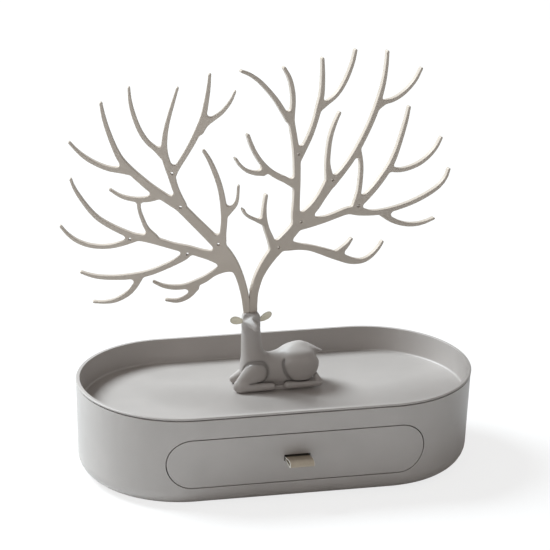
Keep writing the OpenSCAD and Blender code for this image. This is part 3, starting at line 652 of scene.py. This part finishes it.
def skin(field, low, high, cell):
    """The zero surface of a field on a grid. Each cell that the surface crosses holds one point,
    the mean of its edge crossings, and each grid edge that it crosses joins four of them."""
    axes = [np.arange(a, b + cell, cell, dtype=np.float32) for a, b in zip(low, high)]
    p = np.stack(np.meshgrid(*axes, indexing="ij"))
    d = field(p)[0]
    n = d.shape
    inside = d < 0
    total = np.zeros((*[k - 1 for k in n], 3), np.float32)
    count = np.zeros([k - 1 for k in n], np.float32)
    cuts = []
    for axis in range(3):
        one = [slice(None)] * 3
        two = [slice(None)] * 3
        one[axis] = slice(0, -1)
        two[axis] = slice(1, None)
        a, b = d[tuple(one)], d[tuple(two)]
        cross = inside[tuple(one)] != inside[tuple(two)]
        share = np.where(cross, a / np.where(cross, a - b, 1), 0)
        u, v = [k for k in range(3) if k != axis]
        for du in (0, 1):
            for dv in (0, 1):
                pick = [slice(None)] * 3
                pick[u] = slice(du, n[u] - 1 + du)
                pick[v] = slice(dv, n[v] - 1 + dv)
                hit = cross[tuple(pick)]
                spot = np.zeros((*hit.shape, 3), np.float32)
                spot[..., axis] = share[tuple(pick)]
                spot[..., u] = du
                spot[..., v] = dv
                total += spot * hit[..., None]
                count += hit
        cuts.append(cross)
    used = count > 0
    index = np.full(count.shape, -1)
    index[used] = np.arange(used.sum())
    cell_at = np.argwhere(used)
    points = (cell_at + total[used] / count[used][:, None]) * cell + np.array(low)
    faces = []
    for axis in range(3):
        u, v = [(1, 2), (2, 0), (0, 1)][axis]
        at = np.argwhere(cuts[axis])
        keep = (at[:, u] > 0) & (at[:, v] > 0) & (at[:, u] < n[u] - 1) & (at[:, v] < n[v] - 1)
        at = at[keep]
        corner = []
        for du, dv in ((1, 1), (0, 1), (0, 0), (1, 0)):
            c = at.copy()
            c[:, u] -= du
            c[:, v] -= dv
            corner.append(index[c[:, 0], c[:, 1], c[:, 2]])
        quad = np.stack(corner, 1)
        out = inside[at[:, 0], at[:, 1], at[:, 2]]
        quad[~out] = quad[~out][:, ::-1]
        faces.append(quad)
    return points, np.concatenate(faces)


def make_deer(material):
    """The deer's skin and its painted crease shade, with two passes of smoothing that take out the
    grid's steps."""
    points, faces = skin(deer_field, *REACH, CELL)
    piece = to_mesh("deer", points + DEER, faces, material, "stand", "deer_body")
    shade_mark = deer_field(points.T.astype(np.float32)[:, :, None, None])[1]
    keep_painted_shade(piece, shade_mark)
    ease = piece.modifiers.new("ease", "SMOOTH")
    ease.factor = 0.5
    ease.iterations = 2


# ---- the ears: leaves with a raised rim ----

RAYS = 72  # rays of an ear's grid


def make_ear(name, node, root, tip, wide, cup, material):
    """An ear as a grid of rays round an oval. Going outward the face rises from a shallow hollow
    to a round rim and comes back behind the leaf. A painted shade darkens the rim. The width
    follows the sine of the way round, drawn in toward the root."""
    root, tip = np.array(root, float), np.array(tip, float)
    run = tip - root
    length = np.hypot(*run[[0, 2]])
    axis = run / np.linalg.norm(run)
    across = np.array([-axis[2], 0, axis[0]])
    front = np.cross(axis, across)
    front *= -np.sign(front[1])
    turn = np.linspace(0, 2 * np.pi, RAYS + 1)[:-1]
    reach = np.concatenate([np.linspace(0, 0.78, 9), [0.86, 0.93, 0.975, 1.0, 0.98, 0.9],
                            np.linspace(0.75, 0, 6)])
    rise = np.concatenate([cup * (np.linspace(0, 1, 9) ** 2 - 1), [0.16, 0.3, 0.22, -0.1, -0.5,
                           -0.75], np.linspace(-0.85, -0.95, 6)])
    along = 0.5 - 0.5 * np.cos(turn)
    half = wide / 2 * np.sin(turn) * (0.62 + 0.5 * along ** 0.8)
    u = length * (0.52 + (along - 0.52) * reach[:, None])
    v = half * reach[:, None]
    at = (root + u[..., None] * axis + v[..., None] * across
          + (rise[:, None, None] * 0.9) * front)
    n, m = u.shape
    index = np.arange(n * m).reshape(n, m)
    a, b = index[1:-2], np.roll(index, -1, 1)[1:-2]
    d, e = index[2:-1], np.roll(index, -1, 1)[2:-1]
    quads = np.stack([a, b, e, d], -1).reshape(-1, 4)
    ring = np.arange(m)
    first = np.stack([np.full(m, n * m), index[1][(ring + 1) % m], index[1]], 1)
    last = np.stack([np.full(m, n * m + 1), index[-2], index[-2][(ring + 1) % m]], 1)
    at = np.vstack([at.reshape(-1, 3), at[0].mean(0), at[-1].mean(0)])
    # painted shade on the rim: the mark peaks where the rim stands highest
    shade_mark = np.append(np.repeat(np.exp(-(((reach - 1) / 0.1) ** 2)), m), (0, 0))
    faces = [tuple(f) for part in (quads, first, last) for f in part]
    if np.cross(across, axis) @ front > 0:
        faces = [f[::-1] for f in faces]
    piece = to_mesh(name, at + DEER, faces, material, "stand", node)
    keep_painted_shade(piece, shade_mark)


# ---- everything put together ----

GREY = (0.405, 0.376, 0.359)
WARM_GREY = (0.50, 0.437, 0.378)
CREAM = (0.80, 0.75, 0.61)
BEIGE = (0.40, 0.335, 0.26)
BEIGE_EDGE = (0.82, 0.79, 0.73)
STRIP_HALF = 8.25  # half the strip's width
SLOT_Y = -67.7  # the strip is painted dark as shade behind this y, inside its slot
SAG_FROM = 30.6  # height above which the strip sags
SAG_SHARE = 0.78  # what is left of its height over that

make_camera()
make_stage()
shell = satin_plastic("shell_plastic", GREY, 0.42)
# the last number is the strength of the figure's painted crease shade
figure = satin_plastic("figure_plastic", GREY, 0.43, 0.65)
antler = satin_plastic("antler_plastic", WARM_GREY, 0.4)
inner = satin_plastic("drawer_plastic", GREY, 0.48)
# the last number is the strength of the ears' painted shade at the rim
ears = satin_plastic("ear_plastic", CREAM, 0.5, 0.5)
steel = plated_steel("screw_steel")
rubber = foam_rubber("pad_rubber")
strip = smooth_leather("strip_leather", BEIGE, BEIGE_EDGE, STRIP_HALF, SLOT_Y)

rounded("case", "case_shell", shell, 0.3)
rounded("tray", "tray_shell", shell, 0.25)
rounded("drawer_front", "drawer_panel", shell, 0.6, 3)
rounded("drawer_bin", "drawer_box", inner, 0.4)
rounded("runner_left", "runner_rail_left", inner, 0.3)
rounded("runner_right", "runner_rail_right", inner, 0.3)
settle(rounded("pull_strip", "pull_loop", strip, 0.22), SAG_FROM, SAG_SHARE)
rounded("pull_clamp", "clamp_plate", steel, 0.25)
make_antler("antler_plate_left", "antler_left", -1, antler)
make_antler("antler_plate_right", "antler_right", 1, antler)
make_ear("ear_leaf_left", "ear_left", (-19.3, -1.2, 48.7), (-28.8, -1.2, 50.7), 6.0, 0.5, ears)
make_ear("ear_leaf_right", "ear_right", (-8.9, -1.2, 48.4), (-0.4, -1.2, 54.0), 5.4, 0.5, ears)
make_deer(figure)

for name, material in (("base_pad", rubber), ("deer_base", figure), ("tray_screws", steel),
                       ("runner_screws", steel), ("front_screws", steel), ("pull_screws", steel),
                       ("deer_screws", steel)):
    data = frame["nodes"][name].data
    data.materials.clear()
    data.materials.append(material)

bpy.context.scene.view_settings.view_transform = "Standard"
